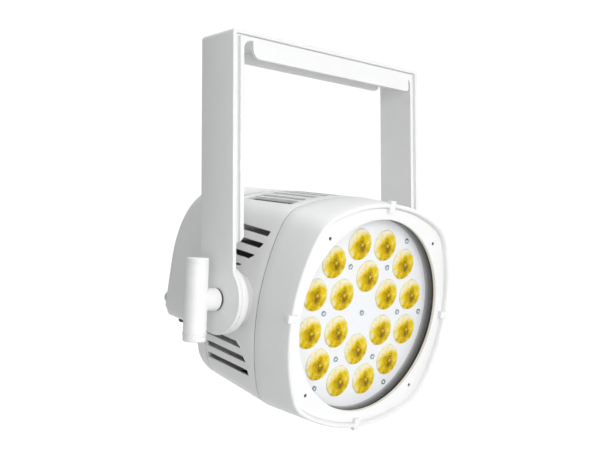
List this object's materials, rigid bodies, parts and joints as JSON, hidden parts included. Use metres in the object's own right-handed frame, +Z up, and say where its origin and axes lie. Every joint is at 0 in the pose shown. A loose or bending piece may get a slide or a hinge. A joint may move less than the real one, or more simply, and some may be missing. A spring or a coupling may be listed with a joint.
{
  "type": "led par can",
  "caption": "LED par can stage light: round-cornered vented lamp head with a ring lens array, tilting in a tall U-shaped yoke between two T-bar lock handles.",
  "frame": {"origin": "middle of the top face of the yoke's crossbar, where the clamp is bolted on", "axes": "+Z up out of the crossbar; -Y is the way the light shines (13 degrees below level at rest); +X is to the right seen from the front, along the tilt axis"},
  "size_m": [0.3452, 0.2687, 0.3923],
  "materials": {
    "white_paint": "satin white powder coat",
    "white_plastic": "smooth satin white",
    "white_plate": "smooth matt white",
    "amber_lens": "clear acrylic over a yellow emitter",
    "clear_glass": "clear polished",
    "baffle": "dark satin",
    "black_rubber": "matt",
    "black_plastic": "fine matt grain",
    "stud_steel": "zinc plated",
    "bare_aluminium": "brushed",
    "black_anodised": "black anodised",
    "circuit_board": "green solder mask"
  },
  "bodies": {
    "yoke": {"yoke_strap": "white_paint", "yoke_stiffener": "white_paint", "friction_disc_left": "white_plastic", "friction_disc_right": "white_plastic"},
    "head": {"front_shell": "white_paint", "front_bezel": "white_paint", "bezel_gasket": "black_rubber", "front_glass": "clear_glass", "baffle_ring": "baffle", "vented_housing": "white_paint", "rear_frame": "white_paint", "pivot_hub_left": "white_paint", "pivot_hub_right": "white_paint", "lens_plate": "white_plate", "lens_01": "amber_lens", "lens_02": "amber_lens", "lens_03": "amber_lens", "lens_04": "amber_lens", "lens_05": "amber_lens", "lens_06": "amber_lens", "lens_07": "amber_lens", "lens_08": "amber_lens", "lens_09": "amber_lens", "lens_10": "amber_lens", "lens_11": "amber_lens", "lens_12": "amber_lens", "lens_13": "amber_lens", "lens_14": "amber_lens", "lens_15": "amber_lens", "lens_16": "amber_lens", "lens_17": "amber_lens", "lens_18": "amber_lens", "led_board": "circuit_board", "heat_sink": "black_anodised", "fan_frame": "black_plastic", "rear_cover": "white_paint", "control_panel": "black_plastic", "display_window": "clear_glass", "control_board": "circuit_board", "power_supply": "bare_aluminium", "power_inlet": "black_plastic", "power_outlet": "black_plastic", "data_inlet": "black_plastic", "data_outlet": "black_plastic", "rear_foot_left": "white_plastic", "rear_foot_right": "white_plastic"},
    "lock_left": {"lock_handle_left": "white_plastic", "lock_stud_left": "stud_steel", "handle_washer_left": "black_rubber"},
    "lock_right": {"lock_handle_right": "white_plastic", "lock_stud_right": "stud_steel", "handle_washer_right": "black_rubber"},
    "fan": {"fan_rotor": "black_plastic"},
    "menu_button_1": {"button_1": "black_plastic"},
    "menu_button_2": {"button_2": "black_plastic"},
    "menu_button_3": {"button_3": "black_plastic"},
    "menu_button_4": {"button_4": "black_plastic"}
  },
  "joints": [
    {"name": "head_tilt", "type": "hinge", "parent": "yoke", "child": "head", "pos_m": [0, 0, -0.26], "axis": [1, 0, 0], "range_deg": [-103, 77]},
    {"name": "lock_left_turn", "type": "hinge", "parent": "head", "child": "lock_left", "pos_m": [-0.15, 0, -0.26], "axis": [-1, 0, 0], "range_deg": [0, 360]},
    {"name": "lock_right_turn", "type": "hinge", "parent": "head", "child": "lock_right", "pos_m": [0.15, 0, -0.26], "axis": [1, 0, 0], "range_deg": [0, 360]},
    {"name": "fan_spin", "type": "hinge", "parent": "head", "child": "fan", "pos_m": [0, 0, -0.26], "axis": [0, 0.9744, 0.225], "continuous": true},
    {"name": "button_1_press", "type": "slide", "parent": "head", "child": "menu_button_1", "axis": [0, -0.9744, -0.225], "range_m": [0, 0.0012], "stiffness_N_per_m": 900},
    {"name": "button_2_press", "type": "slide", "parent": "head", "child": "menu_button_2", "axis": [0, -0.9744, -0.225], "range_m": [0, 0.0012], "stiffness_N_per_m": 900},
    {"name": "button_3_press", "type": "slide", "parent": "head", "child": "menu_button_3", "axis": [0, -0.9744, -0.225], "range_m": [0, 0.0012], "stiffness_N_per_m": 900},
    {"name": "button_4_press", "type": "slide", "parent": "head", "child": "menu_button_4", "axis": [0, -0.9744, -0.225], "range_m": [0, 0.0012], "stiffness_N_per_m": 900}
  ]
}
